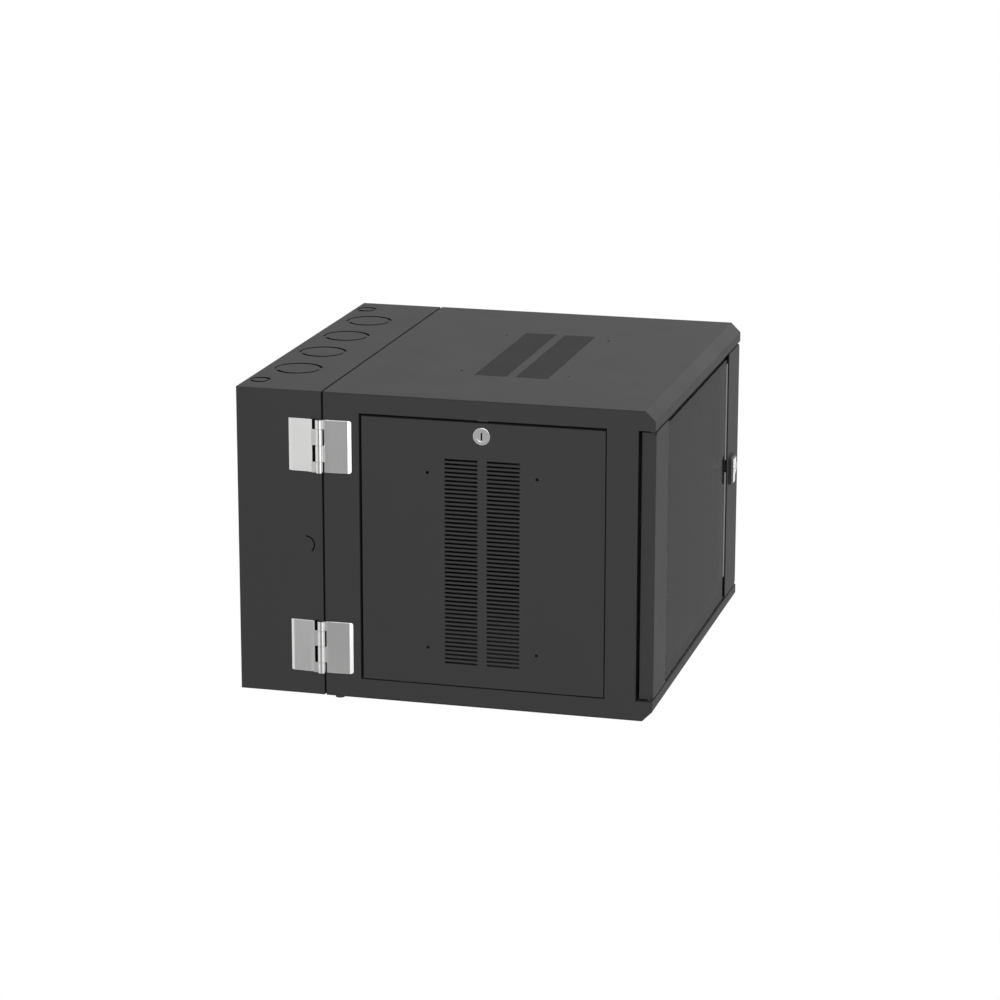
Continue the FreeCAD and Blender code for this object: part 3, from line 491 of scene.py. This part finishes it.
def grown(name, tree, centres, body, slot, **inputs):
    """Run a tree on a set of centres and keep the result as one plain mesh that rides a body."""
    seed = bpy.data.meshes.new(name + "_centres")
    seed.from_pydata(centres, [], [])
    carrier = bpy.data.objects.new(name + "_carrier", seed)
    bpy.context.scene.collection.objects.link(carrier)
    modifier = carrier.modifiers.new("grow", "NODES")
    modifier.node_group = tree
    for item in tree.interface.items_tree:
        if item.in_out == "INPUT" and item.name in inputs:
            modifier[item.identifier] = inputs[item.name]
    evaluated = carrier.evaluated_get(bpy.context.evaluated_depsgraph_get())
    mesh = bpy.data.meshes.new_from_object(evaluated)
    carrier.modifiers.remove(modifier)
    bpy.data.objects.remove(carrier)
    piece = bpy.data.objects.new(name, mesh)
    bpy.context.scene.collection.objects.link(piece)
    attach(piece, body)
    return piece


# %% Shadows in the knockouts
def slit_shadows():
    tree = slit_shadow_tree(slit_shadow)
    thick = 0.6 * MM
    under = thick / 2 + 0.04 * MM
    level = cad_high.z - under
    large = [(x * MM, LARGE_Y * MM, level) for x in LARGE_X]
    small = [(x * MM, SMALL_Y * MM, level) for x in SMALL_X]
    sides = [(x * MM - math.copysign(under, x), SIDE_Y * MM, SIDE_Z * MM) for x in SIDE_X]
    flat, upright = (0.0, 0.0, 0.0), (0.0, math.pi / 2, 0.0)
    rows = [("top_large_outer_shadow", large, LARGE_RADII[0], OUTER_ARC, flat),
            ("top_large_inner_shadow", large, LARGE_RADII[1], INNER_ARC, flat),
            ("top_small_outer_shadow", small, SMALL_RADII[0], OUTER_ARC, flat),
            ("top_small_inner_shadow", small, SMALL_RADII[1], INNER_ARC, flat),
            ("side_small_shadow", sides, SIDE_RADIUS, SIDE_ARC, upright)]
    for name, centres, radius, (middle_angle, full_sweep), turn in rows:
        sweep = full_sweep - 2
        # each ribbon is a painted shadow laid in a slit
        piece = grown(f"knockout_{name}", tree, centres, "wall_section", "cabinet_paint",
                      Radius=radius * MM, Width=2.1 * MM, Thickness=thick, Turn=turn,
                      Start=math.radians(middle_angle - sweep / 2), Sweep=math.radians(sweep))
        print(piece.name, len(piece.data.polygons), "faces")


slit_shadows()


# %% [markdown]
# ## Painted shadow beside bright metal
# Two small recesses read black beside polished metal: the gaps beside the hinge knuckles, and a key slot,
# which shows no light from its bottom. A thin black plate of painted shadow stands in each.

# %% Painted shadows beside the hinge knuckles and in the key slots
# a thin black box in the shadow material: painted shadow in a recess
def painted_shadow_plate(name, centre, size, body):
    work = bmesh.new()
    bmesh.ops.create_cube(work, size=1)
    for vert in work.verts:
        vert.co = Vector(centre) + Vector([a * b for a, b in zip(vert.co, size)])
    piece = add_piece(name, work, body, slit_shadow)
    print(piece.name, tuple(round(value / MM, 1) for value in centre))


def hinge_painted_shadow(level):
    """A plate of painted shadow just outside the wall section's skin, behind the gaps between the knuckles.
    """
    skin_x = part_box("wall_frame")[0].x
    pin_low, pin_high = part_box("hinge_pin_upper")
    low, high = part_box(f"wall_hinge_leaf_{level}")
    wide = 10 * MM
    centre = (skin_x - 0.2 * MM, (pin_low.y + pin_high.y) / 2 + wide / 2, (low.z + high.z) / 2)
    painted_shadow_plate(f"hinge_painted_shadow_{level}", centre, (0.3 * MM, wide, high.z - low.z - 1 * MM), "wall_section")


def key_slot_painted_shade(plug, body):
    """A plate of painted shade in the key slot, half a millimetre below the plug's face."""
    low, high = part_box(plug)
    below = 0.5 * MM
    face_x = low.x + below if low.x < 0 else high.x - below
    centre = (face_x, (low.y + high.y) / 2, (low.z + high.z) / 2)
    painted_shadow_plate(f"{plug}_slot", centre, (0.2 * MM, 2.1 * MM, 10.2 * MM), body)


for level in ("upper", "lower"):
    hinge_painted_shadow(level)
key_slot_painted_shade("panel_lock_plug_left", "panel_key_left")
key_slot_painted_shade("panel_lock_plug_right", "panel_key_right")
key_slot_painted_shade("swing_lock_plug", "swing_key")


# %% [markdown]
# ## The studio
# Black paint shows little but the light on it, so the levels are set face by face. A high lamp in front
# lights the chamfer and the door, one on the left lights the side with the hinges, and weak ones fill the
# top, the right, and the corner between front and left. The world is a plain grey light. A ray that looks at
# the floor or the world, directly, in a gloss or through the pane, sees white. Plated metal shows what
# stands round it, so it gets a grey card of its own.

# %% The studio
def aim(item, target):
    """Turn a lamp so that it shines at a point."""
    item.rotation_euler = (Vector(target) - item.location).to_track_quat("-Z", "Y").to_euler()


def soft_box(name, place, target, size, power):
    light = bpy.data.lights.new(name, "AREA")
    light.shape = "RECTANGLE"
    light.size, light.size_y = size
    light.energy = power
    lamp = bpy.data.objects.new(name, light)
    lamp.location = place
    bpy.context.scene.collection.objects.link(lamp)
    aim(lamp, target)
    return lamp


def looked_at(build):
    """1 on rays that see the studio, directly, in a gloss or through glass, and 0 on the others."""
    path = build.node("ShaderNodeLightPath")
    mirrored = path.output("Is Glossy Ray") + path.output("Is Transmission Ray")
    return build.maths("MINIMUM", path.output("Is Camera Ray") + mirrored, 1.0)


def stage_sheet(name, corners, material):
    """One flat face that belongs to the studio and not to the cabinet."""
    mesh = bpy.data.meshes.new(name)
    mesh.from_pydata(corners, [], [range(len(corners))])
    mesh.materials.append(material)
    item = bpy.data.objects.new(name, mesh)
    bpy.context.scene.collection.objects.link(item)
    return item


def floor():
    """A matt floor well below the cabinet."""
    level = cad_low.z - 0.9
    reach = 30
    material, build = new_material("studio_floor")
    matt = build.node("ShaderNodeBsdfDiffuse", None, {"Color": grey(0.8)})
    white = build.node("ShaderNodeEmission", None, {"Color": grey(1.0), "Strength": 1.0})
    build.show(build.blend(looked_at(build), matt, white))
    signs = ((-1, -1), (1, -1), (1, 1), (-1, 1))
    stage_sheet("studio_floor", [(x * reach, y * reach, level) for x, y in signs], material)


def grey_card():
    """A grey card at the left that only polished metal sees."""
    away = 2.3
    front, back, step_back = -1.4, 1.1, 0.54
    bottom, top, step_top = -1.1, 0.2, -0.62
    outline = [(front, bottom), (back, bottom), (back, step_top),
               (step_back, step_top), (step_back, top), (front, top)]
    material, build = new_material("grey_card")
    build.show(build.node("ShaderNodeEmission", None, {"Color": grey(0.42), "Strength": 1.0}))
    item = stage_sheet("grey_card", [(-away, y, z) for y, z in outline], material)
    item.visible_camera = item.visible_diffuse = False
    item.visible_shadow = item.visible_transmission = False


def studio_world():
    world = bpy.data.worlds.new("studio")
    bpy.context.scene.world = world
    build = Build(world)
    light = build.node("ShaderNodeBackground", None, {"Color": grey(1.0), "Strength": 0.32})
    white = build.node("ShaderNodeBackground", None, {"Color": grey(1.0), "Strength": 1.0})
    build.show(build.blend(looked_at(build), light, white), "World")


# %% Light it: each lamp's place, what it looks at, its size and its watts
floor()
studio_world()
middle = (0, -0.3, 0)
soft_box("overhead", (-0.6, -0.6, 2.6), middle, (2.4, 2.4), 3)
soft_box("front", (0.2, -2.3, 2.4), middle, (1.6, 1.6), 21)
soft_box("left", (-3.0, -0.3, 1.0), (0, -0.2, 0), (1.6, 1.6), 26)
soft_box("low_front_left", (-2.5, -2.3, -0.2), middle, (1.4, 1.6), 9)
soft_box("right", (3.6, -1.2, 1.1), middle, (1.6, 1.6), 12)
grey_card()
bpy.context.scene.view_settings.view_transform = "Standard"
print(len(bpy.data.lights), "lamps")


# %% [markdown]
# ## The camera
# A long lens looks at the left side from a little in front and a little above, so that the side with the
# hinges is seen almost square on and the door at a grazing angle.

# %% The camera
def set_camera():
    lens = bpy.data.cameras.new("camera")
    lens.sensor_width = 36
    lens.lens = 119.1
    camera = bpy.data.objects.new("camera", lens)
    camera.location = (-4.4885, -1.4783, 1.2240)
    turn, rise, roll = math.radians(-75.24), math.radians(14.78), math.radians(0.07)
    out = math.cos(rise)
    back = Vector((math.sin(turn) * out, -math.cos(turn) * out, math.sin(rise)))
    level = (-back).to_track_quat("-Z", "Y")
    camera.rotation_mode = "QUATERNION"
    camera.rotation_quaternion = level @ Euler((0, 0, roll)).to_quaternion()
    bpy.context.scene.collection.objects.link(camera)
    bpy.context.scene.camera = camera


set_camera()
print("camera at", tuple(round(value, 3) for value in bpy.context.scene.camera.location))
